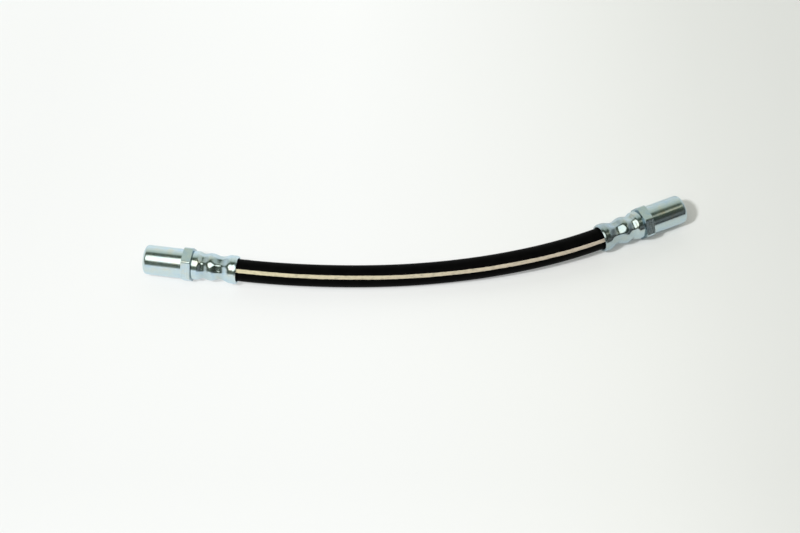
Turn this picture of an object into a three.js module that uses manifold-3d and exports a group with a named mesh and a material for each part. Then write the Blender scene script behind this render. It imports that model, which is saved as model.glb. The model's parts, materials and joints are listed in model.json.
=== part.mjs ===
// A hydraulic brake hose: braided rubber hose with a crimped steel fitting on each end.
// Millimetres, +Z up. It lies on the bottom flats of its two hexagons, and the hose bows towards -Y.

import * as THREE from 'three';
import { mergeVertices } from 'three/addons/utils/BufferGeometryUtils.js';
import Module from 'manifold-3d';

const wasm = await Module();
wasm.setup();

// Hose walls, from the bore outwards
const boreRadius = 1.6;
const innerTubeWall = 1.0;
const innerBraidWall = 0.3;
const cushionWall = 0.25;
const outerBraidWall = 0.3;
const coverWall = 1.6;
const layerGap = 0.05;

// Marking stripes, printed on two opposite sides of the cover
const stripeWidth = 2.0;
const stripeThickness = 0.1;
const stripeTurn = 45;

// Hexagon and barrel of a fitting
const barrelRadius = 7.0;
const barrelLength = 18.7;
const barrelEndRounding = 1.6;
const hexRise = 0.5;
const hexLength = 4.5;
const hexChamferRise = 0.5;
const hexChamferAngle = 30;

// Threaded socket in the barrel, at the thread's crest, and the seat for the pipe's flare
const socketRadius = 4.46;
const socketChamfer = 0.54;
const seatHalfAngle = 59;
const passageLength = 8.6;

// Crimp shell, measured from its mouth
const shellLength = 21.5;
const shellWall = 1.1;
const shellFloor = 2.5;
const mouthClearance = 0.4;
const mouthLand = 3.0;
const mouthLandTaper = 0.1;
const mouthLip = 0.3;
const mouthCrimpPlace = 7.9;
const mouthCrimpDepth = 1.5;
const hexCrimpFromFloor = 2.7;
const hexCrimpDepth = 1.1;
const bulgeDrop = 0.28;
const ribShare = 0.35;
const jaws = 9;
const jawTurn = { left: 15, right: 8 };

// Nipple in the hose end
const nippleRadius = 1.8;
const nippleWall = 0.6;
const nippleTipInset = 0.5;
const nippleTipChamfer = 0.35;
const barbs = 4;
const barbHeight = 0.25;
const collarHeight = 0.7;
const collarLength = 1.2;

// Clearances
const hoseClearance = 0.1;
const steelClearance = 0.1;
const hoseEndGap = 0.3;

// Route of the hose between the two shell mouths: x, y and how far it sags below the fittings' axis.
// Each fitting stands in line with the first stretch at its end.
const route = [
  [-86.5, -4.8, 0], [-83.6, -5.58, 0], [-76, -7.35, 0.1], [-65, -9.55, 0.35], [-54, -11.35, 0.7],
  [-43, -12.8, 1.1], [-32, -13.95, 1.55], [-21, -14.85, 1.9], [-10, -15.5, 2.15], [1, -15.9, 2.2],
  [12, -16.05, 2.1], [23, -15.95, 1.85], [34, -15.5, 1.5], [45, -14.7, 1.05], [56, -13.45, 0.65],
  [67, -11.65, 0.3], [77, -9.5, 0.05], [83.9, -7.61, 0], [86.8, -6.7, 0]
];

// How finely the round shapes are cut
const hoseSides = 12;
const freeRunSteps = 12;
const sidesPerJaw = 4;
const nippleSides = 20;
const pointsPerSpan = 3;
const cutterReach = 5;
const chamferReach = 1;

// Sizes that follow from the ones above
const layerWalls = [innerTubeWall, innerBraidWall, cushionWall, outerBraidWall, coverWall];
const allWalls = layerWalls.reduce((sum, wall) => sum + wall);
const hoseRadius = boreRadius + allWalls + (layerWalls.length - 1) * layerGap;
const flatShare = Math.cos(Math.PI / hoseSides);
const turnedSides = jaws * sidesPerJaw;
const shellInnerRadius = hoseRadius + mouthClearance;
const shellRadius = shellInnerRadius + shellWall;
const hexAcrossFlats = 2 * (barrelRadius + hexRise);
const axisHeight = Math.max(hexAcrossFlats / 2, shellRadius);
const cavityDepth = shellLength - shellFloor;
const hoseDepth = cavityDepth - hoseEndGap;
const fittingLength = shellLength + hexLength + barrelLength;
const passageRadius = nippleRadius + steelClearance;
const nippleTail = cavityDepth + passageLength;
const seatDepth = (socketRadius - passageRadius) / Math.tan(THREE.MathUtils.degToRad(seatHalfAngle));
const socketFloor = nippleTail + seatDepth;
const nippleTip = mouthLand + nippleTipInset;
const nippleBoreRadius = nippleRadius - nippleWall;
const collarRadius = nippleRadius + collarHeight;
const collarDepth = cavityDepth + steelClearance;
const crimpedBoreRadius = nippleRadius / flatShare + layerGap;

// Finishes
const zincPlate = new THREE.MeshStandardMaterial({ color: 0xc6d0d2, roughness: 0.22, metalness: 1.0 });
const turnedSteel = new THREE.MeshStandardMaterial({ color: 0xb9bcbc, roughness: 0.35, metalness: 1.0 });
const blackRubber = new THREE.MeshStandardMaterial({ color: 0x121213, roughness: 0.45, metalness: 0.0 });
const tubeRubber = new THREE.MeshStandardMaterial({ color: 0x1c1b1a, roughness: 0.6, metalness: 0.0 });
const creamInk = new THREE.MeshStandardMaterial({ color: 0xd8cbaf, roughness: 0.6, metalness: 0.0 });
const braidYarn = new THREE.MeshStandardMaterial({ color: 0xc9c3b2, roughness: 0.85, metalness: 0.0 });

// Solids: a closed mesh goes in, joins and cuts are made on it, and a geometry comes out

function toSolid(geometry) {
  const bare = geometry.clone();
  bare.deleteAttribute('normal');
  bare.deleteAttribute('uv');
  const merged = mergeVertices(bare, 1e-4);
  const corners = merged.index.array;
  const triangles = [];
  for (let i = 0; i < corners.length; i += 3) {
    const [a, b, c] = [corners[i], corners[i + 1], corners[i + 2]];
    if (a !== b && b !== c && c !== a) triangles.push(a, b, c);
  }
  return new wasm.Manifold(new wasm.Mesh({
    numProp: 3,
    vertProperties: new Float32Array(merged.attributes.position.array),
    triVerts: new Uint32Array(triangles)
  }));
}

function toGeometry(solid) {
  const mesh = solid.getMesh();
  const geometry = new THREE.BufferGeometry();
  geometry.setAttribute('position', new THREE.BufferAttribute(new Float32Array(mesh.vertProperties), 3));
  geometry.setIndex(new THREE.BufferAttribute(new Uint32Array(mesh.triVerts), 1));
  geometry.computeVertexNormals();
  return geometry;
}

// A turned shape about the fitting's X axis, from an outline of [distance from the mouth, radius]
function turned(outline, sides) {
  const profile = outline.map(([along, radius]) => new THREE.Vector2(radius, along));
  return new THREE.LatheGeometry(profile, sides).rotateZ(-Math.PI / 2);
}

function turnedSolid(outline, sides = turnedSides) {
  return toSolid(turned(outline, sides));
}

// Crimp shell

// Key places along the shell, and how far a jaw presses the wall in there
const hexCrimpPlace = cavityDepth - hexCrimpFromFloor;
const shellKeys = [
  { place: 0, depth: 0 },
  { place: mouthLand, depth: mouthLandTaper },
  { place: mouthCrimpPlace, depth: mouthCrimpDepth },
  { place: (mouthCrimpPlace + hexCrimpPlace) / 2, depth: bulgeDrop },
  { place: hexCrimpPlace, depth: hexCrimpDepth },
  { place: cavityDepth, depth: 0 }
];

// How far the wall is pressed in at a distance from the mouth, eased from key to key
function pressedIn(along) {
  const next = shellKeys.findIndex((key) => key.place > along);
  if (next < 0) return shellKeys[shellKeys.length - 1].depth;
  const [from, to] = [shellKeys[next - 1], shellKeys[next]];
  const share = (along - from.place) / (to.place - from.place);
  return THREE.MathUtils.lerp(from.depth, to.depth, (1 - Math.cos(Math.PI * share)) / 2);
}

// Between two jaws the wall follows them in by only a share of their depth
function ribRadius(along) {
  return shellRadius - ribShare * pressedIn(along);
}

function shellOutside(turn) {
  const outline = [[0, 0], [0, shellRadius - mouthLip], [mouthLip, ribRadius(mouthLip)]];
  for (let key = 1; key < shellKeys.length; key++) {
    const [from, to] = [shellKeys[key - 1].place, shellKeys[key].place];
    for (let step = 1; step <= pointsPerSpan; step++) {
      const along = THREE.MathUtils.lerp(from, to, step / pointsPerSpan);
      outline.push([along, ribRadius(along)]);
    }
  }
  const insideHex = shellLength + hexLength / 2;
  outline.push([insideHex, shellRadius], [insideHex, 0]);
  const geometry = turned(outline, turnedSides);
  pressJaws(geometry, outline);
  return toSolid(geometry.rotateX(THREE.MathUtils.degToRad(turn)));
}

// Each jaw is flat, so it reaches the wall first along the middle of its face
function pressJaws(geometry, outline) {
  const position = geometry.attributes.position;
  const jawPitch = (2 * Math.PI) / jaws;
  for (let column = 0; column <= turnedSides; column++) {
    const fromMiddle = jawPitch * ((column % sidesPerJaw) / sidesPerJaw - 0.5);
    outline.forEach(([along, radius], row) => {
      if (along <= mouthLip || along > cavityDepth) return;
      const jawRadius = (shellRadius - pressedIn(along)) / Math.cos(fromMiddle);
      const share = Math.min(1, jawRadius / radius);
      const at = column * outline.length + row;
      position.setY(at, position.getY(at) * share);
      position.setZ(at, position.getZ(at) * share);
    });
  }
}

// The shell's cavity has the same keys on the inside, straight from one to the next
function shellCavity() {
  const outline = [[-cutterReach, 0], [-cutterReach, shellInnerRadius + mouthLip]];
  outline.push([0, shellInnerRadius + mouthLip], [mouthLip, shellInnerRadius]);
  for (const key of shellKeys.slice(1)) outline.push([key.place, shellInnerRadius - key.depth]);
  outline.push([cavityDepth, 0]);
  return turnedSolid(outline);
}

// Hexagon, barrel and the bores of a fitting

function hexagon() {
  const cornerRadius = hexAcrossFlats / Math.sqrt(3);
  const outline = new THREE.Shape();
  for (let corner = 0; corner < 6; corner++) {
    const angle = THREE.MathUtils.degToRad(30 + 60 * corner);
    const [x, y] = [cornerRadius * Math.cos(angle), cornerRadius * Math.sin(angle)];
    if (corner === 0) outline.moveTo(x, y);
    else outline.lineTo(x, y);
  }
  const prism = new THREE.ExtrudeGeometry(outline, { depth: hexLength, bevelEnabled: false });
  prism.rotateY(Math.PI / 2).translate(shellLength, 0, 0);
  const beyond = cornerRadius + chamferReach;
  const chamferRadius = hexAcrossFlats / 2 + hexChamferRise;
  const run = (beyond - chamferRadius) * Math.tan(THREE.MathUtils.degToRad(hexChamferAngle));
  const end = shellLength + hexLength;
  const chamfers = [
    [shellLength, 0], [shellLength, chamferRadius], [shellLength + run, beyond],
    [end - run, beyond], [end, chamferRadius], [end, 0]
  ];
  return toSolid(prism).intersect(turnedSolid(chamfers));
}

function barrel() {
  const insideHex = shellLength + hexLength / 2;
  const outline = [[insideHex, 0], [insideHex, barrelRadius]];
  const arcSteps = 5;
  for (let step = 0; step <= arcSteps; step++) {
    const angle = (Math.PI / 2) * (step / arcSteps);
    const along = fittingLength - barrelEndRounding * (1 - Math.sin(angle));
    outline.push([along, barrelRadius - barrelEndRounding * (1 - Math.cos(angle))]);
  }
  outline.push([fittingLength, 0]);
  return turnedSolid(outline);
}

function bores() {
  const entryRadius = socketRadius + socketChamfer;
  const socket = turnedSolid([
    [nippleTail, 0], [nippleTail, passageRadius], [socketFloor, socketRadius],
    [fittingLength - socketChamfer, socketRadius], [fittingLength, entryRadius],
    [fittingLength + cutterReach, entryRadius], [fittingLength + cutterReach, 0]
  ]);
  const collarSeat = collarDepth + collarLength + steelClearance;
  const passage = turnedSolid([
    [mouthLand, 0], [mouthLand, collarRadius + steelClearance], [collarSeat, collarRadius + steelClearance],
    [collarSeat, passageRadius], [socketFloor, passageRadius], [socketFloor, 0]
  ]);
  return socket.add(passage);
}

function fittingGeometry(turn) {
  const outside = shellOutside(turn).add(hexagon()).add(barrel());
  return toGeometry(outside.subtract(shellCavity()).subtract(bores()));
}

// Barbed insert: collar in the shell's floor, stem in the hose, tail in the passage to the socket

function nippleGeometry() {
  const stemLength = hoseDepth - nippleTip - nippleTipChamfer;
  const pitch = stemLength / barbs;
  const outline = [[nippleTip, nippleBoreRadius], [nippleTip, nippleRadius - nippleTipChamfer]];
  for (let barb = 0; barb < barbs; barb++) {
    const crest = nippleTip + nippleTipChamfer + barb * pitch;
    const drop = crest + pitch / 2;
    outline.push([crest, nippleRadius], [drop, nippleRadius], [drop, nippleRadius - barbHeight]);
  }
  outline.push(
    [hoseDepth, nippleRadius], [collarDepth, nippleRadius], [collarDepth, collarRadius],
    [collarDepth + collarLength, collarRadius], [collarDepth + collarLength, nippleRadius],
    [nippleTail, nippleRadius], [nippleTail, nippleBoreRadius], [nippleTip, nippleBoreRadius]
  );
  return toGeometry(turnedSolid(outline, nippleSides));
}

// Hose: one line through both shells, with a section at each key of the shell and evenly along the free run

const routePoints = route.map(([x, y, sag]) => new THREE.Vector3(x, y, axisHeight - sag));
const ends = [routePoints.slice(0, 2), routePoints.slice(-2).reverse()].map(([mouth, next]) => {
  return { mouth, outward: mouth.clone().sub(next).setZ(0).normalize() };
});

const sectionDepths = [0, ...shellKeys.slice(1, -1).map((key) => key.place), hoseDepth];

class HoseLine extends THREE.Curve {
  constructor() {
    super();
    this.freeRun = new THREE.CatmullRomCurve3(routePoints, false, 'centripetal');
    this.freeLength = this.freeRun.getLength();
    const farMouth = hoseDepth + this.freeLength;
    this.sections = sectionDepths.map((depth) => hoseDepth - depth).reverse();
    for (let step = 1; step < freeRunSteps; step++) {
      this.sections.push(hoseDepth + (this.freeLength * step) / freeRunSteps);
    }
    this.sections.push(...sectionDepths.map((depth) => farMouth + depth));
  }

  get steps() {
    return this.sections.length - 1;
  }

  // Equal steps of t go from section to section
  getUtoTmapping(u) {
    return u;
  }

  getPoint(t, target = new THREE.Vector3()) {
    const section = Math.min(Math.floor(t * this.steps), this.steps - 1);
    const share = t * this.steps - section;
    const along = THREE.MathUtils.lerp(this.sections[section], this.sections[section + 1], share);
    const pastLeftMouth = along - hoseDepth;
    const pastRightMouth = pastLeftMouth - this.freeLength;
    const [left, right] = ends;
    if (pastLeftMouth < 0) return target.copy(left.mouth).addScaledVector(left.outward, -pastLeftMouth);
    if (pastRightMouth > 0) return target.copy(right.mouth).addScaledVector(right.outward, pastRightMouth);
    return this.freeRun.getPointAt(pastLeftMouth / this.freeLength, target);
  }
}

// A layer's radius where the crimp squeezes it between the nipple and the shell
function squeezedRadius(depth, radius) {
  const bore = THREE.MathUtils.lerp(boreRadius, crimpedBoreRadius, Math.min(depth / mouthLand, 1));
  const outside = Math.min(hoseRadius, shellInnerRadius - pressedIn(depth) - hoseClearance);
  return bore + ((radius - boreRadius) * (outside - bore)) / (hoseRadius - boreRadius);
}

function squeezeEnds(geometry) {
  const position = geometry.attributes.position;
  const point = new THREE.Vector3();
  for (let i = 0; i < position.count; i++) {
    for (const { mouth, outward } of ends) {
      point.fromBufferAttribute(position, i).sub(mouth);
      const depth = point.dot(outward);
      if (depth <= 0) continue;
      point.addScaledVector(outward, -depth);
      point.setLength(squeezedRadius(depth, point.length())).addScaledVector(outward, depth).add(mouth);
      position.setXYZ(i, point.x, point.y, point.z);
    }
  }
}

const hoseLine = new HoseLine();

function alongHose(section) {
  const options = { steps: hoseLine.steps, extrudePath: hoseLine, bevelEnabled: false };
  const geometry = new THREE.ExtrudeGeometry(section, options);
  geometry.deleteAttribute('normal');
  geometry.deleteAttribute('uv');
  squeezeEnds(geometry);
  const merged = mergeVertices(geometry, 1e-4);
  merged.computeVertexNormals();
  return merged;
}

function polygonPoints(radius) {
  return Array.from({ length: hoseSides }, (_, corner) => {
    const angle = (2 * Math.PI * corner) / hoseSides;
    return new THREE.Vector2(radius * Math.cos(angle), radius * Math.sin(angle));
  });
}

function ringSection(innerRadius, wall) {
  const section = new THREE.Shape(polygonPoints(innerRadius + wall));
  section.holes.push(new THREE.Path(polygonPoints(innerRadius).reverse()));
  return section;
}

// A thin strip on a flat of the cover. The section's x points down and its y points away, to +Y.
function stripeSection(side) {
  const turn = THREE.MathUtils.degToRad(stripeTurn);
  const out = new THREE.Vector2(-Math.sin(turn), -Math.cos(turn)).multiplyScalar(side);
  const across = new THREE.Vector2(-out.y, out.x);
  const inner = hoseRadius * flatShare + layerGap;
  const outer = inner + stripeThickness;
  const corners = [[inner, -1], [outer, -1], [outer, 1], [inner, 1]];
  return new THREE.Shape(corners.map(([height, edge]) => new THREE.Vector2()
    .addScaledVector(out, height)
    .addScaledVector(across, (edge * stripeWidth) / 2)));
}

// The whole object

const brakeHose = new THREE.Group();

function addPiece(name, geometry, material, parent = brakeHose) {
  const piece = new THREE.Mesh(geometry, material);
  piece.name = name;
  parent.add(piece);
}

const layers = [
  ['inner_tube', innerTubeWall, tubeRubber],
  ['inner_braid', innerBraidWall, braidYarn],
  ['cushion_layer', cushionWall, tubeRubber],
  ['outer_braid', outerBraidWall, braidYarn],
  ['outer_cover', coverWall, blackRubber]
];
let layerRadius = boreRadius;
for (const [name, wall, material] of layers) {
  addPiece(name, alongHose(ringSection(layerRadius, wall)), material);
  layerRadius += wall + layerGap;
}

addPiece('marking_stripe_near', alongHose(stripeSection(1)), creamInk);
addPiece('marking_stripe_far', alongHose(stripeSection(-1)), creamInk);

['left', 'right'].forEach((side, i) => {
  const end = new THREE.Group();
  end.position.copy(ends[i].mouth);
  end.rotation.z = Math.atan2(ends[i].outward.y, ends[i].outward.x);
  addPiece(`${side}_end_fitting`, fittingGeometry(jawTurn[side]), zincPlate, end);
  addPiece(`${side}_hose_nipple`, nippleGeometry(), turnedSteel, end);
  brakeHose.add(end);
});

export default brakeHose;
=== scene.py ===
# %% [markdown]
# # A brake hose with a crimped fitting on each end
# A car's brake hose is a black rubber hose with two layers of woven yarn inside it. A plated steel
# fitting is crimped onto each end: a shell squeezes the hose onto a barbed nipple, a slim hexagon takes
# the spanner, and a round barrel holds the thread for the brake pipe.
# The sizes are settled in the CAD model, so this script only gives each piece its true surface. It
# loads the CAD model first and works around it, in metres and in the same frame.

# %% Load the CAD model
import json
import math

import bmesh
import bpy
import numpy as np
from mathutils import Matrix, Vector

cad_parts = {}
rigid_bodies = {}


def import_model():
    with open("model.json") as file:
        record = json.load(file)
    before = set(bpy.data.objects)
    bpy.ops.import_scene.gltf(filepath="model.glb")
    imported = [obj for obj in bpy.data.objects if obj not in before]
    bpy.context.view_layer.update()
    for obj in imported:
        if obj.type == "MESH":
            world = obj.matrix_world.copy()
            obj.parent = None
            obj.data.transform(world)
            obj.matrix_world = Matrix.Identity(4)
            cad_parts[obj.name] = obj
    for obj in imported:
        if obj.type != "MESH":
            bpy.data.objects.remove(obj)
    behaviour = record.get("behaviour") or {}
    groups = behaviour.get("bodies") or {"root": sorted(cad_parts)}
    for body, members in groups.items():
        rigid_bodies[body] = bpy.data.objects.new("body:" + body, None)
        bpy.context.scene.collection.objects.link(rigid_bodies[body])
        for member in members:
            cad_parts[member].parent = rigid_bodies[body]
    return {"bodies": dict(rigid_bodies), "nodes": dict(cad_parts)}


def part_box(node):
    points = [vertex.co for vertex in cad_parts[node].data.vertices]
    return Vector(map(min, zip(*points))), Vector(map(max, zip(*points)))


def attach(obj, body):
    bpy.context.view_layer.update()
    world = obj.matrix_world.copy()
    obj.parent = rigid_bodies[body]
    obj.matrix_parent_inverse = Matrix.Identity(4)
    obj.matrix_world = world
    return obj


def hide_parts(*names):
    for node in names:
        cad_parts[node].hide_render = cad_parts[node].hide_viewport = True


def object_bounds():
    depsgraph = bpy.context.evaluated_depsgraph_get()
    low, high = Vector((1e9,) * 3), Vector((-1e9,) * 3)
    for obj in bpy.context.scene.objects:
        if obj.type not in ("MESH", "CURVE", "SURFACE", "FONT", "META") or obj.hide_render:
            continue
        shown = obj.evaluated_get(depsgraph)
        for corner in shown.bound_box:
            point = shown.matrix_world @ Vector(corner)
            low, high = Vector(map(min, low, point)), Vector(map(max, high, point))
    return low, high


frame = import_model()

cad_low, cad_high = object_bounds()
print("CAD nodes:", sorted(frame["nodes"]))
print("CAD box in mm:", [round(1000 * side, 2) for side in cad_high - cad_low])

# %% [markdown]
# ## Camera
# The hose was photographed from in front and well above, with a fairly long lens. A camera is placed
# by two points, where it stands and what it looks at, because those are easy to measure and to change.

# %% Camera
camera_place = Vector((-0.063095, -0.452080, 0.606671))
camera_aim = Vector((-0.009585, -0.006368, 0.0))

camera = bpy.data.objects.new("camera", bpy.data.cameras.new("camera"))
camera.location = camera_place
camera.rotation_euler = (camera_aim - camera_place).to_track_quat("-Z", "Y").to_euler()
camera.data.sensor_width = 36
camera.data.lens = 70.875
bpy.context.scene.collection.objects.link(camera)
bpy.context.scene.camera = camera
bpy.context.scene.view_settings.view_transform = "Standard"
print("Camera stands", round((camera_aim - camera_place).length, 3), "m from the hose")

# %% [markdown]
# ## The line of the hose
# The hose lies in one gentle arc between the two fittings, which hold it a little above the table, so
# it sags almost down to the table in the middle. Its line could be drawn as a Blender curve. Here the
# points are listed and a smooth line is worked out through them, because every layer of the hose
# and both painted stripes then follow the very same line.

# %% Points of the route: x, y and how far the hose sags below the fittings' axis
route = [
    (-0.0865, -0.0048, 0), (-0.0836, -0.00558, 0), (-0.076, -0.00735, 0.0001),
    (-0.065, -0.00955, 0.00035), (-0.054, -0.01135, 0.0007), (-0.043, -0.0128, 0.0011),
    (-0.032, -0.01395, 0.00155), (-0.021, -0.01485, 0.0019), (-0.01, -0.0155, 0.00215),
    (0.001, -0.0159, 0.0022), (0.012, -0.01605, 0.0021), (0.023, -0.01595, 0.00185),
    (0.034, -0.0155, 0.0015), (0.045, -0.0147, 0.00105), (0.056, -0.01345, 0.00065),
    (0.067, -0.01165, 0.0003), (0.077, -0.0095, 0.00005), (0.0839, -0.00761, 0),
    (0.0868, -0.0067, 0),
]
fitting_low, fitting_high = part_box("left_end_fitting")
axis_height = (fitting_low.z + fitting_high.z) / 2
route_points = np.array([(x, y, axis_height - sag) for x, y, sag in route])
print("The fittings' axis is", round(1000 * axis_height, 2), "mm above the table")

# %% Where each fitting's mouth is, and which way it points
def outward(mouth, neighbour):
    """The level direction from the hose into its fitting."""
    along = (mouth - neighbour) * (1, 1, 0)
    return along / np.linalg.norm(along)


mouths = {
    "left": (route_points[0], outward(route_points[0], route_points[1])),
    "right": (route_points[-1], outward(route_points[-1], route_points[-2])),
}
for side, (mouth, direction) in mouths.items():
    print(side, "mouth at", (1000 * mouth).round(2), "mm, pointing along", direction.round(3))

# %% A smooth line through points
def even_steps(points, step):
    """The same line, with points at equal distances of about one step."""
    reach = np.concatenate([[0], np.cumsum(np.linalg.norm(np.diff(points, axis=0), axis=1))])
    places = np.linspace(0, reach[-1], round(reach[-1] / step) + 1)
    return np.stack([np.interp(places, reach, points[:, axis]) for axis in range(3)], axis=1)


def through(points, samples=16):
    """A smooth line through points: between two of them it leaves and arrives along their slopes."""
    reach = np.concatenate([[0], np.cumsum(np.linalg.norm(np.diff(points, axis=0), axis=1))])
    slopes = np.gradient(points, reach, axis=0)
    share = np.linspace(0, 1, samples, endpoint=False)[:, None]
    line = []
    for k, length in enumerate(np.diff(reach)):
        start, end = points[k], points[k + 1]
        leave, arrive = slopes[k] * length, slopes[k + 1] * length
        line.append(
            (2 * share**3 - 3 * share**2 + 1) * start + (share**3 - 2 * share**2 + share) * leave
            + (3 * share**2 - 2 * share**3) * end + (share**3 - share**2) * arrive
        )
    return np.vstack([*line, points[-1:]])


def evened(points, spread):
    """Bends are evened out by averaging each point with its neighbours, and both ends stay."""
    width = 3 * spread
    weights = np.exp(-0.5 * (np.arange(-width, width + 1) / spread) ** 2)
    weights /= weights.sum()
    before = 2 * points[0] - points[width:0:-1]
    after = 2 * points[-1] - points[-2:-width - 2:-1]
    padded = np.vstack([before, points, after])
    return np.stack([np.convolve(padded[:, axis], weights, "valid") for axis in range(3)], axis=1)


# %% The whole line, with the hose's two ends inside the shells
hose_depth = 0.0187
ring_step = 0.00075
evening_spread = 7

left_end = mouths["left"][0] + hose_depth * mouths["left"][1]
right_end = mouths["right"][0] + hose_depth * mouths["right"][1]
whole = np.vstack([left_end, through(route_points), right_end])
centres = evened(even_steps(whole, ring_step), evening_spread)
along = np.concatenate([[0], np.cumsum(np.linalg.norm(np.diff(centres, axis=0), axis=1))])
hose_length = along[-1]
print("Hose from cut end to cut end:", round(1000 * hose_length, 1), "mm, in", len(centres), "rings")

# %% Directions at each ring: forward, sideways (away from the camera) and up
forward = np.gradient(centres, along, axis=0)
forward /= np.linalg.norm(forward, axis=1, keepdims=True)
sideways = np.cross((0, 0, 1), forward)
sideways /= np.linalg.norm(sideways, axis=1, keepdims=True)
upward = np.cross(forward, sideways)
print("At its left end the hose points along", forward[0].round(3))


def around_hose(radius, angle):
    """Points beside the line. The angle turns from sideways to up.

    Radius and angle are tables of rings by columns. A table may have a single column or a single row.
    """
    radius, angle = (np.asarray(value)[..., None] for value in np.broadcast_arrays(radius, angle))
    across = np.cos(angle) * sideways[:, None] + np.sin(angle) * upward[:, None]
    return centres[:, None] + radius * across


# %% [markdown]
# ## The crimp
# The shell starts as a plain tube. A press closes nine flat jaws on it, first near its mouth and then
# near the hexagon, so each squeezed band ends up nine-sided, with a low rib between two jaws. The dents
# could be sculpted or cut. They are a formula here: one radius for every place along the shell and every
# angle round it, so that the steel outside, the cavity inside and the squeezed rubber all agree.

# %% Sizes of the shell and the hose
hose_radius = 0.00525
hose_bore = 0.0016
shell_radius = 0.00675
shell_wall = 0.0011
cavity_radius = shell_radius - shell_wall
cavity_depth = 0.0190
nipple_radius = 0.0018
print("The shell clears the hose by", round(1000 * (cavity_radius - hose_radius), 2), "mm before the crimp")

# %% How far the jaws press the wall in, and how far it shrinks all round, at places from the mouth
crimp_places = np.array([0, 0.0028, 0.0079, 0.0127, 0.0163, 0.0190])
jaw_depths = np.array([0, 0, 0.00145, 0, 0.00105, 0])
shrinks = np.array([0, 0.00006, 0.00007, 0.00028, 0.00007, 0])
crimp_depths = jaw_depths + shrinks


def eased(at, places, values):
    """Values read between places, with a gentle start and stop at each of them."""
    at = np.clip(at, places[0], places[-1])
    span = np.clip(np.searchsorted(places, at, side="right") - 1, 0, len(places) - 2)
    share = (at - places[span]) / (places[span + 1] - places[span])
    share = (1 - np.cos(np.pi * share)) / 2
    return values[span] + share * (values[span + 1] - values[span])


print("The crimp closes the shell to", round(1000 * (shell_radius - crimp_depths.max()), 2), "mm radius")

# %% Rubber where the crimp squeezes it
squeeze_gap = 0.0001
crimped_bore = nipple_radius + 0.00005
mouth_land = crimp_places[1]


def depth_in_shell(points):
    """How deep each point lies inside the nearer shell, and 0 or less outside both."""
    return np.max([(points - mouth) @ direction for mouth, direction in mouths.values()], axis=0)


def squeezed(radius):
    """The radius of a layer at each ring, between the nipple inside and the shell outside."""
    depth = depth_in_shell(centres)
    cavity = cavity_radius - eased(depth, crimp_places, crimp_depths)
    outside = np.where(depth > 0, np.minimum(hose_radius, cavity - squeeze_gap), hose_radius)
    bore = hose_bore + (crimped_bore - hose_bore) * np.clip(depth / mouth_land, 0, 1)
    return bore + (radius - hose_bore) * (outside - bore) / (hose_radius - hose_bore)


# %% [markdown]
# ## A mesh from rings
# Every piece here is round or follows a line, so each is a stack of rings of points. Joining the last
# ring to the first gives a closed wall with an inside and an outside, such as a tube or a turned
# fitting. Blender's own curves and Screw modifier make such walls too, but not with a section that
# changes along the way. The mesh gets a UV map in metres, along and around, for its patterns.

# %% Loft a mesh from rings
def loft(name, rings, along_ring, around_column, capped=False):
    """rings is a table of points, rings by columns. A capped loft is closed at its two ends."""
    count, columns = rings.shape[:2]
    ring, column = np.meshgrid(np.arange(count - capped), np.arange(columns), indexing="ij")
    next_ring, next_column = (ring + 1) % count, (column + 1) % columns
    corners = [(ring, column), (ring, next_column), (next_ring, next_column), (next_ring, column)]
    quads = np.stack([r * columns + c for r, c in corners], axis=-1).reshape(-1, 4)
    faces = quads.tolist()
    if capped:
        faces += [list(range(columns))[::-1], list(range((count - 1) * columns, count * columns))]

    mesh = bpy.data.meshes.new(name)
    mesh.from_pydata(rings.reshape(-1, 3), [], faces)
    around_closed = np.append(around_column, 2 * around_column[-1] - around_column[-2])
    map_corners = [(ring, column), (ring, column + 1), (next_ring, column + 1), (next_ring, column)]
    flat_map = np.stack([
        np.stack([along_ring[r], around_closed[c]], axis=-1) for r, c in map_corners
    ], axis=-2).reshape(-1, 2)
    layer = mesh.uv_layers.new(name="surface")
    values = np.zeros((len(mesh.loops), 2))
    values[:len(flat_map)] = flat_map
    layer.data.foreach_set("uv", values.astype(np.float32).ravel())
    return finished(name, mesh)


def finished(name, mesh, sharp_angle=28):
    """An object of the mesh, with its faces pointing out and only its real edges sharp."""
    editable = bmesh.new()
    editable.from_mesh(mesh)
    bmesh.ops.recalc_face_normals(editable, faces=editable.faces)
    editable.to_mesh(mesh)
    editable.free()
    mesh.shade_smooth()
    mesh.set_sharp_from_angle(angle=math.radians(sharp_angle))
    piece = bpy.data.objects.new(name, mesh)
    bpy.context.scene.collection.objects.link(piece)
    print(name, "has", len(mesh.polygons), "faces")
    return piece


# %% [markdown]
# ## The five layers of the hose
# From the bore outwards, a brake hose is an inner tube, a woven layer, a thin cushion, a second woven
# layer and the thick weatherproof cover. A curve with a round bevel would give a plain tube, but the
# crimp squeezes every layer in the shells. So one function makes all five from rings, since each is
# the same wall with another pair of radii. Only the cover shows.

# %% Walls from the bore outwards: name and thickness
layer_gap = 0.00005
layer_walls = [
    ("inner_tube", 0.0010),
    ("inner_braid", 0.0003),
    ("cushion_layer", 0.00025),
    ("outer_braid", 0.0003),
    ("outer_cover", 0.0016),
]
hose_columns = 72


def hose_wall(name, inner, outer):
    """A tube along the hose, with its inside joined to its outside at both cut ends.

    The columns start underneath, where the map's seam is out of sight.
    """
    angles = np.linspace(0, 2 * np.pi, hose_columns, endpoint=False) - np.pi / 2
    outside = around_hose(squeezed(outer)[:, None], angles[None])
    inside = around_hose(squeezed(inner)[:, None], angles[None])
    rings = np.concatenate([outside, inside[::-1]])
    return loft(name, rings, np.concatenate([along, along[::-1]]), outer * (angles + np.pi / 2))


layers = {}
inner = hose_bore
for name, wall in layer_walls:
    layers[name] = hose_wall("hose_" + name, inner, inner + wall)
    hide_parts(name)
    inner += wall + layer_gap

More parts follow.
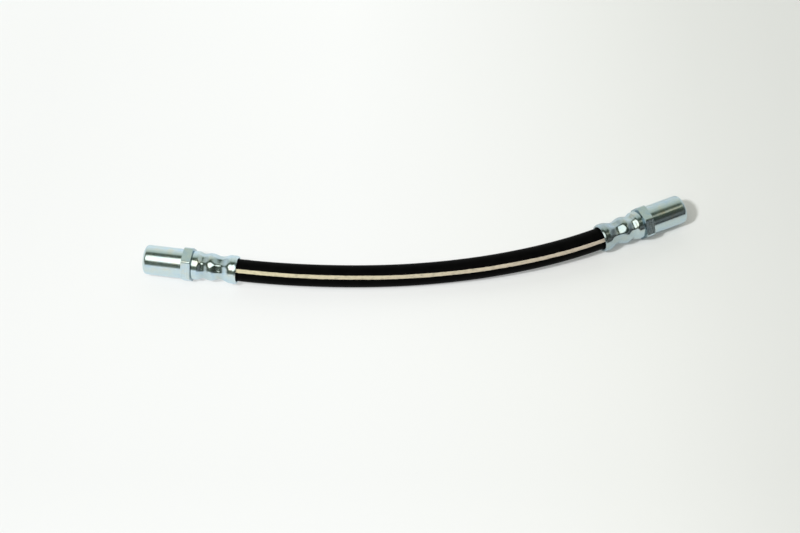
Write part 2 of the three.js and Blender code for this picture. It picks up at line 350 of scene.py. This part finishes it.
# %% [markdown]
# ## The painted stripes
# Two cream stripes run along the cover, on opposite sides. They show the fitter that the hose isn't
# twisted. Each is a layer of ink that a roller leaves, so it is modelled as a very thin strip that hugs
# the cover, with edges that wander a little, instead of a colour painted on by the cover's material.

# %% Stripe sizes. The ink is at its full height from a sixth of the width in from each edge
stripe_width = 0.00178
stripe_height = 0.00004
stripe_sink = 0.00003
stripe_columns = 9
edge_slope = 6
edge_wander = 0.00006
stripe_turn_left = math.radians(50.5)
stripe_turn_right = math.radians(38.5)
print("Each stripe is", round(1000 * stripe_width, 2), "mm wide")


def wander(places, seed):
    """A small smooth waver along the hose, the same on every run, mostly between -1 and 1."""
    phases = np.random.default_rng(seed).uniform(0, 2 * np.pi, 6)
    wave_lengths = np.array([0.041, 0.023, 0.0132, 0.0071, 0.0043, 0.0026])
    return np.sin(2 * np.pi * places[:, None] / wave_lengths + phases).mean(axis=1) * 2


# %% One stripe
def stripe(name, side, seed):
    """A thin strip on the near side of the cover (side 1), or opposite to it (side -1)."""
    turn = np.interp(along, (0, hose_length), (stripe_turn_left, stripe_turn_right))
    middle = np.pi - turn + (0 if side == 1 else np.pi)
    half = stripe_width / 2 / hose_radius
    low = middle - half + edge_wander / hose_radius * wander(along, seed)
    high = middle + half + edge_wander / hose_radius * wander(along, seed + 1)
    share = np.linspace(0, 1, stripe_columns)
    crown = stripe_height * np.sqrt(np.minimum(1, edge_slope * np.minimum(share, 1 - share)))
    top = low[:, None] + (high - low)[:, None] * share
    cover = squeezed(hose_radius)[:, None]
    outer = around_hose(cover + crown, top)
    inner_face = around_hose(np.broadcast_to(cover - stripe_sink, top.shape), top)[:, ::-1]
    rings = np.concatenate([outer, inner_face], axis=1)
    widths = np.concatenate([share, 1 + share[::-1]]) * stripe_width
    return loft(name, rings, along, widths, capped=True)


stripes = {
    "marking_stripe_near": stripe("painted_stripe_near", 1, seed=3),
    "marking_stripe_far": stripe("painted_stripe_far", -1, seed=8),
}
for name, piece in stripes.items():
    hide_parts(name)

# %% [markdown]
# ## The end fittings
# Each fitting is turned from hexagonal bar: the barrel and the shell are cut round and the hexagon is
# what is left of the bar. It could be built from cylinders with booleans and bevels. A stack of rings
# is cleaner, because a radius for each place and angle holds the flats, the dents and the thread.

# %% Sizes of the fitting, from the mouth of its shell
shell_length = 0.0215
hexagon_length = 0.0045
barrel_length = 0.0187
hexagon_end = shell_length + hexagon_length
fitting_length = hexagon_end + barrel_length
barrel_radius = 0.0070
barrel_rounding = 0.0016
across_flats = 0.0150
hexagon_corner = 0.0011
chamfer_radius = 0.0080
chamfer_slope = math.tan(math.radians(30))
print("A fitting is", round(1000 * fitting_length, 1), "mm long,", 1000 * across_flats, "mm across flats")

# %% Columns round the fitting, closer together at the hexagon's corners
column_step = 1.5
beside_corner = (0.5, 1.0, 2.2, 3.4)
corner_detail = np.radians([way * turn for way in (-1, 1) for turn in beside_corner])
hexagon_corners = np.radians(np.arange(0, 360, 60))
even_columns = np.radians(np.arange(0, 360, column_step))
near_corners = (hexagon_corners[:, None] + corner_detail).ravel() % (2 * np.pi)
columns = np.unique(np.concatenate([even_columns, near_corners]).round(9))
print("Each ring of a fitting has", len(columns), "points")

# %% The radius of a section with flat sides and rounded corners, at each angle
def flat_sided(sides, first_corner, to_flat, corner):
    """to_flat is the distance from the axis to each side, and corner is the radius of each corner."""
    half = math.pi / sides
    from_corner = np.abs((columns - first_corner + half) % (2 * half) - half)
    flat = to_flat / np.cos(half - from_corner)
    centre = (to_flat - corner) / math.cos(half)
    reach = np.clip(corner**2 - (centre * np.sin(from_corner)) ** 2, 0, None)
    rounded = centre * np.cos(from_corner) + np.sqrt(reach)
    tangent = math.atan2(corner * math.sin(half), centre + corner * math.cos(half))
    return np.where(from_corner <= tangent, rounded, flat)


# %% The shell's radius at each angle
jaws = 9
jaw_pitch = 2 * math.pi / jaws
pressed_corner = 0.0026
rib_width = math.radians(7)
rib_height = 0.00014
print("Each of the", jaws, "jaws presses over", round(math.degrees(jaw_pitch)), "degrees")


def shell_outside(place, turn):
    """Round where no jaw reaches. Under the jaws it has nine flats, and rounded ribs between them."""
    share = eased(place, crimp_places, jaw_depths) / jaw_depths.max()
    to_flat = shell_radius - eased(place, crimp_places, crimp_depths)
    corner = to_flat + (pressed_corner - to_flat) * math.sqrt(share)
    from_rib = np.abs((columns - np.pi / 2 - turn + jaw_pitch / 2) % jaw_pitch - jaw_pitch / 2)
    rib = rib_height * share * np.exp(-((from_rib / rib_width) ** 2))
    return flat_sided(jaws, np.pi / 2 + turn, to_flat, corner) + rib


# %% The thread's radius at each angle
thread_pitch = 0.0010
thread_crest = 0.00446
thread_root = 0.0050
thread_opening = 0.00078
thread_bottom = 0.00014
thread_depth = 0.0120
socket_floor = 0.029144
print("The thread has", round(thread_depth / thread_pitch), "turns")


def socket_radius(place):
    """The socket is drilled to the thread's crest, and the tap's groove winds into its wall."""
    turns = place / thread_pitch - columns / (2 * np.pi)
    from_groove = np.abs((turns % 1) - 0.5) * thread_pitch
    groove = np.clip((thread_opening / 2 - from_groove) / (thread_opening / 2 - thread_bottom / 2), 0, 1)
    run_out = np.clip((place - (fitting_length - thread_depth)) / thread_pitch, 0, 1)
    entry = thread_root - (fitting_length - place)
    return np.maximum(thread_crest + (thread_root - thread_crest) * groove * run_out, entry)


# %% Rings of the outside, from the mouth to the end face
crown_length = 0.0015
crown_drop = 0.00026
lip = 0.00015
lip_turns = np.radians((0, 22, 45, 67))
groove_width = 0.0004
groove_depth = 0.00015
ring_counts = {"crown": 8, "jaws": 84, "floor": 5, "groove": 5, "chamfer": 7, "barrel": 12, "rounding": 13}
print("The outside of a fitting has about", sum(ring_counts.values()), "rings")


def outside_rings(turn):
    """Pairs of place and radius."""
    rings = [(lip * (1 - math.cos(a)), shell_radius - crown_drop - lip * (1 - math.sin(a)))
             for a in lip_turns]
    for place in np.linspace(lip, crown_length, ring_counts["crown"])[:-1]:
        fall = (crown_length - place) / (crown_length - lip)
        rings.append((place, shell_outside(place, turn) - crown_drop * fall**2))
    for place in np.linspace(crown_length, cavity_depth, ring_counts["jaws"]):
        rings.append((place, shell_outside(place, turn)))
    groove_start = shell_length - groove_width
    for place in np.linspace(cavity_depth, groove_start, ring_counts["floor"])[1:]:
        rings.append((place, shell_radius))
    for angle in np.linspace(0, np.pi / 2, ring_counts["groove"])[1:]:
        place = groove_start + groove_width * (1 - math.cos(angle))
        rings.append((place, shell_radius - groove_depth * math.sin(angle)))
    flats = flat_sided(6, 0, across_flats / 2, hexagon_corner)
    chamfer_run = (flats.max() - chamfer_radius) * chamfer_slope
    for run in np.linspace(0, chamfer_run, ring_counts["chamfer"]):
        rings.append((shell_length + run, np.minimum(flats, chamfer_radius + run / chamfer_slope)))
    for run in np.linspace(chamfer_run, 0, ring_counts["chamfer"]):
        rings.append((hexagon_end - run, np.minimum(flats, chamfer_radius + run / chamfer_slope)))
    round_start = fitting_length - barrel_rounding
    for place in np.linspace(hexagon_end, round_start, ring_counts["barrel"]):
        rings.append((place, barrel_radius))
    for angle in np.radians(np.linspace(0, 90, ring_counts["rounding"])[1:]):
        drop = barrel_rounding * (1 - math.cos(angle))
        rings.append((round_start + barrel_rounding * math.sin(angle), barrel_radius - drop))
    return rings


# %% Rings of the inside, from the end face back to the mouth
passage_radius = 0.0019
passage_end = 0.0276
collar_seat_radius = 0.0026
collar_seat_end = 0.0204
entry_step = 0.00004
above_floor = (0.0020, 0.0002, 0)
thread_rings = 150
cavity_rings = 28
print("The passage is", round(2000 * passage_radius, 1), "mm wide")


def inside_rings():
    """Thread, seat for the pipe's flare, passage, seat for the nipple's collar, then the cavity."""
    thread_places = np.linspace(fitting_length - entry_step, fitting_length - thread_depth, thread_rings)
    rings = [(place, socket_radius(place)) for place in thread_places]
    rings += [(socket_floor + step, thread_crest) for step in above_floor]
    rings += [(passage_end, passage_radius), (collar_seat_end, passage_radius)]
    rings += [(collar_seat_end, collar_seat_radius), (cavity_depth, collar_seat_radius)]
    for place in np.linspace(cavity_depth, lip, cavity_rings):
        rings.append((place, cavity_radius - eased(place, crimp_places, crimp_depths)))
    rings += [(lip * (1 - math.cos(a)), cavity_radius + lip * (1 - math.sin(a)))
              for a in lip_turns[::-1]]
    return rings


# %% Build a turned piece from its rings
def turned(name, rings, angles):
    """X is the piece's axis. The rings run up its outside and back along its inside."""
    places = np.array([np.broadcast_to(place, angles.shape) for place, radius in rings])
    radii = np.array([np.broadcast_to(radius, angles.shape) for place, radius in rings])
    points = np.stack([places, radii * np.cos(angles), radii * np.sin(angles)], axis=-1)
    steps = np.hypot(np.diff(places[:, 0]), np.diff(radii[:, 0]))
    return loft(name, points, np.concatenate([[0], np.cumsum(steps)]), angles * barrel_radius)


def stand_at(piece, side):
    """The piece's own X axis points outwards from the mouth."""
    mouth, direction = mouths[side]
    turn = math.atan2(direction[1], direction[0])
    piece.matrix_world = Matrix.Translation(Vector(mouth)) @ Matrix.Rotation(turn, 4, "Z")


# %% The two fittings, with the jaws turned a little differently on each
jaw_turn = {"left": math.radians(15), "right": math.radians(8)}
fittings = {}
for side in mouths:
    rings = outside_rings(jaw_turn[side]) + inside_rings()
    fittings[side] = turned(side + "_crimped_fitting", rings, columns)
    stand_at(fittings[side], side)
    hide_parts(side + "_end_fitting")

# %% [markdown]
# ## The nipples
# A nipple is a small turned tube: a barbed stem in the hose, a collar in the shell's floor and a tail
# in the passage to the socket. It hardly shows, but it is what the crimp squeezes against, so it gets
# its true outline. A few corners turned about an axis are enough.

# %% Outline of the nipple, from its tip to its tail and back through its bore
nipple_tip = 0.0035
nipple_tail = passage_end
nipple_bore = 0.0012
tip_chamfer = 0.00035
barbs = 4
barb_height = 0.00025
collar_radius = 0.0025
collar_start = 0.0191
collar_end = 0.0203
nipple_sides = 64
print("A nipple is", round(1000 * (nipple_tail - nipple_tip), 1), "mm long")


def nipple_rings():
    """Each barb rises gently towards the hexagon and drops back sharply, so the hose can't slip off."""
    rings = [(nipple_tip, nipple_radius - tip_chamfer)]
    first = nipple_tip + tip_chamfer
    pitch = (hose_depth - first) / barbs
    for crest in first + pitch * np.arange(barbs):
        rings += [(crest, nipple_radius), (crest + pitch / 2, nipple_radius)]
        rings += [(crest + pitch / 2, nipple_radius - barb_height)]
    rings += [(hose_depth, nipple_radius), (collar_start, nipple_radius), (collar_start, collar_radius)]
    rings += [(collar_end, collar_radius), (collar_end, nipple_radius), (nipple_tail, nipple_radius)]
    rings += [(nipple_tail, nipple_bore), (nipple_tip, nipple_bore)]
    return rings


# %% The two nipples
nipple_columns = np.linspace(0, 2 * np.pi, nipple_sides, endpoint=False)
nipples = {}
for side in mouths:
    nipples[side] = turned(side + "_barbed_nipple", nipple_rings(), nipple_columns)
    stand_at(nipples[side], side)
    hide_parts(side + "_hose_nipple")

# %% [markdown]
# ## Materials
# Each finish is a small node tree on the main shader. A picture could be wrapped round each piece, but
# a pattern worked out by nodes stays sharp from near by. It is worked out in metres, from the piece's
# own place or from its UV map, so grain, turning marks and ink keep their real size however the piece
# is shown. A few helpers keep the trees short: noise, a colour ramp, a filter and a bump.

# %% Helpers for node trees
def new_material(name):
    """A material, its node tree and its shader."""
    material = bpy.data.materials.new(name)
    material.use_nodes = True
    return material, material.node_tree, material.node_tree.nodes["Principled BSDF"]


def stretched(tree, vector, scale):
    """Coordinates multiplied by a scale for each axis, in features per metre."""
    mapping = tree.nodes.new("ShaderNodeMapping")
    mapping.inputs["Scale"].default_value = scale
    tree.links.new(vector, mapping.inputs["Vector"])
    return mapping.outputs["Vector"]


def noise(tree, vector, detail=3.0, roughness=0.5):
    """Soft random values from 0 to 1, one feature per unit of the vector."""
    node = tree.nodes.new("ShaderNodeTexNoise")
    node.inputs["Scale"].default_value = 1.0
    node.inputs["Detail"].default_value = detail
    node.inputs["Roughness"].default_value = roughness
    tree.links.new(vector, node.inputs["Vector"])
    return node.outputs["Fac"]


def ramp(tree, factor, stops):
    """A colour for each factor. A stop is a position and a colour, or a position and a grey."""
    node = tree.nodes.new("ShaderNodeValToRGB")
    while len(node.color_ramp.elements) < len(stops):
        node.color_ramp.elements.new(1.0)
    for element, (position, colour) in zip(node.color_ramp.elements, stops):
        element.position = position
        element.color = (*colour, 1) if isinstance(colour, tuple) else (colour, colour, colour, 1)
    tree.links.new(factor, node.inputs["Fac"])
    return node.outputs["Color"]


def multiplied(tree, colour, other):
    """Two colours, one laid over the other as a filter."""
    node = tree.nodes.new("ShaderNodeMix")
    node.data_type = "RGBA"
    node.blend_type = "MULTIPLY"
    node.inputs["Factor"].default_value = 1.0
    tree.links.new(colour, node.inputs["A"])
    tree.links.new(other, node.inputs["B"])
    return node.outputs["Result"]


def bump(tree, height, depth, strength=1.0, under=None):
    """Small relief of the given depth in metres, over another relief if one is given."""
    node = tree.nodes.new("ShaderNodeBump")
    node.inputs["Distance"].default_value = depth
    node.inputs["Strength"].default_value = strength
    tree.links.new(height, node.inputs["Height"])
    if under is not None:
        tree.links.new(under, node.inputs["Normal"])
    return node.outputs["Normal"]


def own_place(tree):
    """The piece's own coordinates, in metres."""
    return tree.nodes.new("ShaderNodeTexCoord").outputs["Object"]


def surface_map(tree):
    """Along and around the surface, in metres."""
    node = tree.nodes.new("ShaderNodeUVMap")
    node.uv_map = "surface"
    return node.outputs["UV"]


def dress(piece, material):
    """The piece takes the material."""
    piece.data.materials.clear()
    piece.data.materials.append(material)


# %% [markdown]
# ### Zinc plate
# The fittings are plated with zinc and passivated, which leaves a bright, faintly blue mirror with
# straw-coloured patches. The right one is painted darker all over. Both shells are painted darker along
# the crimp, most in the left one's jaw dents and at the right one's mouth, and both have a dark line in
# the groove beside the hexagon: this is painted shade. One even metal colour would look like chrome, so
# slow noise shifts the tint, a ramp along the fitting paints the shade, and noise that is stretched round
# the axis gives the lathe's fine marks, in both roughness and relief.

# %% Painted shade on the plate: how much light it gives back at places along each shell, and beyond the shell
# Painted shade: along the left shell it darkens the jaw dents, and along the right shell most of all its
# mouth.
left_painted_shades = [(0.005, 1), (0.0079, 0.84), (0.0115, 0.95), (0.0163, 0.84), (0.019, 1)]
right_painted_shades = [(0.005, 0.68), (0.012, 0.74), (0.016, 0.82), (0.019, 0.85)]
# Painted shade on the hexagon and the barrel: the right plate is painted darker all over.
left_painted_dimming = 0
right_painted_dimming = 0.14
# Painted shade in the crease: the groove beside the hexagon is painted dark.
groove_painted_shade = 0.55
print("The right plate gives back", round(100 * (1 - right_painted_dimming)), "% of the left one's light")


# %% Zinc plate
def zinc_plate(name, painted_dimming, shell_painted_shades):
    """The painted dimming darkens the hexagon and the barrel, and the shell's painted shades darken the
    shell along its length: both are painted shade.
    """
    material, tree, shader = new_material(name)
    shader.inputs["Metallic"].default_value = 1.0
    place = own_place(tree)
    shader.inputs["Specular Tint"].default_value = (0.88, 0.95, 1.0, 1)
    clouds = noise(tree, stretched(tree, place, (260, 260, 260)), detail=4)
    tint = ramp(tree, clouds, [
        (0.28, (0.54, 0.70, 0.81)), (0.44, (0.60, 0.74, 0.79)),
        (0.58, (0.63, 0.75, 0.765)), (0.72, (0.67, 0.73, 0.67)),
    ])
    parts = tree.nodes.new("ShaderNodeSeparateXYZ")
    tree.links.new(place, parts.inputs["Vector"])
    along_fitting = tree.nodes.new("ShaderNodeMapRange")
    along_fitting.inputs["From Max"].default_value = fitting_length
    tree.links.new(parts.outputs["X"], along_fitting.inputs["Value"])
    groove = shell_length / fitting_length
    painted_shell_stops = [(place_in_shell / fitting_length, shade) for place_in_shell, shade in shell_painted_shades]
    # Painted shade along the fitting: the shell's stops, a dark painted line in the groove beside the
    # hexagon, then the painted dimming beyond it.
    painted_shade = ramp(tree, along_fitting.outputs["Result"], [
        *painted_shell_stops, (groove - 0.009, painted_shell_stops[-1][1]), (groove - 0.003, groove_painted_shade),
        (groove + 0.001, groove_painted_shade), (groove + 0.005, 1 - painted_dimming),
    ])
    tree.links.new(multiplied(tree, tint, painted_shade), shader.inputs["Base Color"])
    lathe_marks = noise(tree, stretched(tree, place, (4200, 90, 90)), detail=2)
    gloss = ramp(tree, lathe_marks, [(0.3, 0.13), (0.7, 0.24)])
    tree.links.new(gloss, shader.inputs["Roughness"])
    ripples = noise(tree, stretched(tree, place, (1000, 420, 420)), detail=2)
    relief = bump(tree, lathe_marks, depth=0.000004)
    relief = bump(tree, ripples, depth=0.000016, under=relief)
    tree.links.new(relief, shader.inputs["Normal"])
    return material


# %% [markdown]
# ### Turned steel
# The nipples are bare steel inside the hose. They get the plate's lathe marks, a little coarser, and
# no tint, because there is no plate to give one.

# %% Turned steel
def turned_steel():
    """A plain grey metal with fine marks round its axis."""
    material, tree, shader = new_material("turned_steel")
    shader.inputs["Metallic"].default_value = 1.0
    place = own_place(tree)
    lathe_marks = noise(tree, stretched(tree, place, (6000, 120, 120)), detail=2)
    tree.links.new(ramp(tree, lathe_marks, [(0.3, 0.42), (0.7, 0.54)]), shader.inputs["Base Color"])
    tree.links.new(ramp(tree, lathe_marks, [(0.3, 0.28), (0.7, 0.42)]), shader.inputs["Roughness"])
    tree.links.new(bump(tree, lathe_marks, depth=0.000008), shader.inputs["Normal"])
    return material


# %% [markdown]
# ### Rubber
# The cover is black and only faintly shiny. One even black would look like plastic. Rubber has a dull
# bloom in patches, a fine grain, and faint lines along it from the die that it was pressed through.
# The grain and the bloom come from the piece's own place, and the die lines from noise stretched along
# the map, so that they follow the bend.

# %% Rubber
def rubber(name, dark, pale, shine):
    """Dark and pale are the greys that the bloom goes between."""
    material, tree, shader = new_material(name)
    shader.inputs["Specular IOR Level"].default_value = shine
    place, lengthwise = own_place(tree), surface_map(tree)
    bloom = noise(tree, stretched(tree, place, (220, 220, 220)), detail=5)
    tree.links.new(ramp(tree, bloom, [(0.35, dark), (0.7, pale)]), shader.inputs["Base Color"])
    grain = noise(tree, stretched(tree, place, (5200, 5200, 5200)), detail=2)
    tree.links.new(ramp(tree, grain, [(0.3, 0.42), (0.7, 0.6)]), shader.inputs["Roughness"])
    die_lines = noise(tree, stretched(tree, lengthwise, (28, 1500, 1)), detail=2)
    relief = bump(tree, die_lines, depth=0.00002)
    relief = bump(tree, grain, depth=0.000012, under=relief)
    tree.links.new(relief, shader.inputs["Normal"])
    return material


# %% [markdown]
# ### Ink and yarn
# The stripe's ink is a matt cream that lets a little black through where it is thin, yellower at the left
# end of the hose and pinker and darker at the right, where the darkening is painted shade. A ramp from
# end to end gives the shift, and noise gives the thin spots. The yarn is woven from two sets of strands
# that cross. Strands could be modelled one by one, but no one sees them inside the hose, so two slanting
# waves over the surface map are enough.

# %% Cream ink
def cream_ink():
    """Matt cream, uneven where the roller left it thin, and painted darker towards the right end as painted
    shade.
    """
    material, tree, shader = new_material("cream_ink")
    shader.inputs["Specular IOR Level"].default_value = 0.25
    shader.inputs["Roughness"].default_value = 0.65
    place, lengthwise = own_place(tree), surface_map(tree)
    ends = tree.nodes.new("ShaderNodeSeparateXYZ")
    tree.links.new(place, ends.inputs["Vector"])
    shift = tree.nodes.new("ShaderNodeMapRange")
    shift.inputs["From Min"].default_value = cad_low.x
    shift.inputs["From Max"].default_value = cad_high.x
    tree.links.new(ends.outputs["X"], shift.inputs["Value"])
    # Painted shade: the cream is painted darker towards the right end, and it turns pinker.
    cream_with_painted_shade = ramp(tree, shift.outputs["Result"], [(0.1, (0.61, 0.56, 0.38)), (0.9, (0.52, 0.45, 0.38))])
    patches = noise(tree, stretched(tree, lengthwise, (420, 900, 1)), detail=4, roughness=0.6)
    thin = ramp(tree, patches, [(0.28, 0.62), (0.5, 0.95), (0.7, 1.0)])
    tree.links.new(multiplied(tree, cream_with_painted_shade, thin), shader.inputs["Base Color"])
    tree.links.new(bump(tree, patches, depth=0.00001), shader.inputs["Normal"])
    return material


# %% Braid yarn
def braid_yarn():
    """The higher of two crossing waves is the strand on top."""
    material, tree, shader = new_material("braid_yarn")
    shader.inputs["Roughness"].default_value = 0.8
    strands = []
    for slant in (1, -1):
        wave = tree.nodes.new("ShaderNodeTexWave")
        wave.bands_direction = "DIAGONAL"
        wave.inputs["Scale"].default_value = 1.0
        wave.inputs["Distortion"].default_value = 0.4
        tree.links.new(stretched(tree, surface_map(tree), (150, 190 * slant, 0)), wave.inputs["Vector"])
        strands.append(wave.outputs["Fac"])
    over = tree.nodes.new("ShaderNodeMath")
    over.operation = "MAXIMUM"
    tree.links.new(strands[0], over.inputs[0])
    tree.links.new(strands[1], over.inputs[1])
    weave = over.outputs["Value"]
    yarn_colour = ramp(tree, weave, [(0.2, (0.30, 0.27, 0.21)), (0.9, (0.62, 0.58, 0.47))])
    tree.links.new(yarn_colour, shader.inputs["Base Color"])
    tree.links.new(bump(tree, weave, depth=0.0001), shader.inputs["Normal"])
    return material


# %% Give every piece its finish
# The right plate is a darker copy of the left one: painted shade.
plates = {
    "left": zinc_plate("zinc_plate", left_painted_dimming, left_painted_shades),
    "right": zinc_plate("zinc_plate_painted_darker", right_painted_dimming, right_painted_shades),
}
steel = turned_steel()
yarn = braid_yarn()
tube_rubber = rubber("tube_rubber", dark=0.010, pale=0.020, shine=0.3)
finishes = {
    "inner_tube": (tube_rubber, "tube_rubber"),
    "inner_braid": (yarn, "braid_yarn"),
    "cushion_layer": (tube_rubber, "tube_rubber"),
    "outer_braid": (yarn, "braid_yarn"),
    "outer_cover": (rubber("cover_rubber", dark=0.0012, pale=0.0022, shine=0.024), "cover_rubber"),
}
for name, (material, slot) in finishes.items():
    dress(layers[name], material)
ink = cream_ink()
for piece in stripes.values():
    dress(piece, ink)
for side in mouths:
    dress(fittings[side], plates[side])
    dress(nipples[side], steel)
print("Materials:", sorted(material.name for material in bpy.data.materials))

# %% [markdown]
# ## Everything rides on the part
# The part has no joints, so every piece rides on its one body. The hose leaves the left shell at its mouth
# and runs to its other fitting.

body = next(iter(frame["bodies"]))
on_the_hose = [*fittings.values(), *nipples.values(), *stripes.values()]
on_the_hose += [piece for name, piece in layers.items() if name != "outer_cover"]
for piece in [layers["outer_cover"], *on_the_hose]:
    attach(piece, body)

print("Declared a hose of", round(1000 * hose_length, 1), "mm on body", body)

# %% [markdown]
# ## Table and light
# The hose lies on a white table under one big soft light in a dark housing, in a pale room. Polished
# metal shows just what stands around it: the light makes the white band along each barrel, the dark
# housing draws the thin dark lines beside it, and the pale room and the table fill the rest. A small
# strong key lamp in front on the left throws the shadow. It is hidden from reflections, because the
# metal shows no second highlight. A small warm lamp on the right makes the right barrel's thin line.
# The room could be a photograph of one, but ramps over the direction are easy to read and to change.

# %% Directions in the room, seen from where the photographer stands
towards_camera = Vector((camera_place.x - camera_aim.x, camera_place.y - camera_aim.y, 0)).normalized()
to_the_right = Vector((0, 0, 1)).cross(towards_camera)


def room_direction(right, front, up):
    """A direction from its shares to the photographer's right, towards the photographer and up."""
    return (right * to_the_right + front * towards_camera + Vector((0, 0, up))).normalized()


def dotted(tree, vector, fixed):
    """How far a vector points along a fixed one."""
    node = tree.nodes.new("ShaderNodeVectorMath")
    node.operation = "DOT_PRODUCT"
    node.inputs[1].default_value = fixed
    tree.links.new(vector, node.inputs[0])
    return node.outputs["Value"]


# %% The table, and its white
table_half = 1.5
white_from, white_to = -0.19, 0.19
front_shade_from, front_shade_to = -0.18, 0.15
table = bpy.data.objects.new("table", bpy.data.meshes.new("table"))
corners = [(-table_half, -table_half, 0), (table_half, -table_half, 0)]
corners += [(table_half, table_half, 0), (-table_half, table_half, 0)]
table.data.from_pydata(corners, [], [(0, 1, 2, 3)])
bpy.context.scene.collection.objects.link(table)

# From left to right: the place, how white the table is, greyer to the right as painted shade, and the share
# of it that is a painted glow
painted_table_light = [
    (0.0, 0.90, 0.55), (0.40, 0.95, 0.55), (0.53, 0.925, 0.42), (0.65, 0.90, 0.28),
    (0.77, 0.87, 0.12), (0.89, 0.835, 0.06), (1.0, 0.82, 0.06),
]
print("The table is", painted_table_light[1][1], "white on the left and", painted_table_light[-1][1], "on the right")


# %% Table material
def table_white():
    """White, with painted shade that makes it greyer to the right and towards the front. A painted glow,
    which only the camera and reflections see, keeps shadows faint on the left.
    """
    material, tree, shader = new_material("table_white")
    shader.inputs["Roughness"].default_value = 0.9
    shader.inputs["Specular IOR Level"].default_value = 0.1
    across = tree.nodes.new("ShaderNodeMapRange")
    across.inputs["From Min"].default_value = white_from
    across.inputs["From Max"].default_value = white_to
    tree.links.new(dotted(tree, own_place(tree), to_the_right), across.inputs["Value"])
    towards_front = tree.nodes.new("ShaderNodeMapRange")
    towards_front.inputs["From Min"].default_value = front_shade_from
    towards_front.inputs["From Max"].default_value = front_shade_to
    tree.links.new(dotted(tree, own_place(tree), towards_camera), towards_front.inputs["Value"])
    # Painted shade: the table is painted greyer towards the front.
    painted_front_shade = ramp(tree, towards_front.outputs["Result"], [
        (0.0, 1.03), (0.12, 1.0), (0.39, 0.945), (0.70, 0.90), (0.91, 0.86),
    ])
    tone = np.array((0.990, 1.006, 1.010))
    lit = [(place, tuple(white * (1 - share) * tone)) for place, white, share in painted_table_light]
    painted_glow = [(place, tuple(white * share * tone)) for place, white, share in painted_table_light]
    for stops, socket in ((lit, "Base Color"), (painted_glow, "Emission Color")):
        white = multiplied(tree, ramp(tree, across.outputs["Result"], stops), painted_front_shade)
        tree.links.new(white, shader.inputs[socket])
    # Painted glow: only camera and glossy rays see the emission, so it lights nothing and fills the shadows
    # on the left.
    ray = tree.nodes.new("ShaderNodeLightPath")
    seen = tree.nodes.new("ShaderNodeMath")
    seen.operation = "MAXIMUM"
    tree.links.new(ray.outputs["Is Camera Ray"], seen.inputs[0])
    tree.links.new(ray.outputs["Is Glossy Ray"], seen.inputs[1])
    tree.links.new(seen.outputs["Value"], shader.inputs["Emission Strength"])
    return material


table.data.materials.append(table_white())

# %% A lamp
def area_lamp(name, place, aim, width, height, radiance, colour=(1, 1, 1)):
    """A flat oval lamp. A radiance of 1 is as bright as white paper in full light."""
    lamp = bpy.data.objects.new(name, bpy.data.lights.new(name, "AREA"))
    lamp.data.shape = "ELLIPSE"
    lamp.data.size = width
    lamp.data.size_y = height
    lamp.data.energy = math.pi * radiance * math.pi / 4 * width * height
    lamp.data.color = colour
    lamp.location = place
    lamp.rotation_euler = (Vector(aim) - Vector(place)).to_track_quat("-Z", "Y").to_euler()
    bpy.context.scene.collection.objects.link(lamp)
    return lamp


# %% The soft light, the key lamp and the warm lamp
softbox_tilt = math.radians(23.5)
softbox_shift = -0.15
softbox_aim = softbox_shift * to_the_right
softbox_place = room_direction(0, math.sin(softbox_tilt), math.cos(softbox_tilt)) + softbox_aim
area_lamp("softbox", softbox_place, softbox_aim, width=0.96, height=0.93, radiance=1.75,
          colour=(1.0, 0.96, 0.86))

key_distance = 0.9
key_place = key_distance * room_direction(-0.40, 0.44, 0.80)
key_lamp = area_lamp("key_lamp", key_place, (0, 0, 0), width=0.10, height=0.10, radiance=240)
key_lamp.visible_glossy = False

right_mouth = Vector(mouths["right"][0])
warm_place = right_mouth + room_direction(0.52, 0.01, 0.83)
area_lamp("warm_lamp", warm_place, right_mouth, width=0.30, height=0.16, radiance=0.80,
          colour=(1.0, 0.88, 0.66))
print("Lamps:", sorted(lamp.name for lamp in bpy.data.lights))

# %% The room
world = bpy.data.worlds.new("room")
world.use_nodes = True
bpy.context.scene.world = world
tree = world.node_tree
looking = tree.nodes.new("ShaderNodeTexCoord").outputs["Generated"]
walls_to_ceiling = ramp(tree, dotted(tree, looking, (0, 0, 1)), [
    (0.0, (1.12, 1.15, 1.18)), (0.30, (0.96, 0.97, 0.93)),
    (0.55, (0.90, 0.91, 0.86)), (0.80, (0.63, 0.67, 0.58)),
])
from_left = tree.nodes.new("ShaderNodeMapRange")
from_left.inputs["From Min"].default_value = -1
tree.links.new(dotted(tree, looking, to_the_right), from_left.inputs["Value"])
left_to_right = ramp(tree, from_left.outputs["Result"], [
    (0.10, 0.90), (0.22, 0.68), (0.33, 1.0), (0.43, 1.0), (0.50, 0.86), (0.58, 1.0), (0.85, 0.80),
    (0.96, 0.15),
])
unlit_side = room_direction(0.735, 0.679, 0)
unlit_corner = ramp(tree, dotted(tree, looking, unlit_side), [
    (0.60, 1.0), (0.78, 0.42), (0.95, 0.26), (0.985, 0.08),
])

# %% The dark housing round the soft light
housing_tilt = math.radians(25.75)
housing_rim = math.cos(math.radians(58))
housing_inside = math.cos(math.radians(49))
housing_axis = room_direction(-0.10, math.sin(housing_tilt), math.cos(housing_tilt))
housing = ramp(tree, dotted(tree, looking, housing_axis), [
    (housing_rim, 1.0), (housing_inside, (0.13, 0.15, 0.12)),
])
room = multiplied(tree, walls_to_ceiling, left_to_right)
room = multiplied(tree, room, unlit_corner)
room = multiplied(tree, room, housing)
tree.links.new(room, tree.nodes["Background"].inputs["Color"])
print("The room is made of", len(tree.nodes), "nodes")
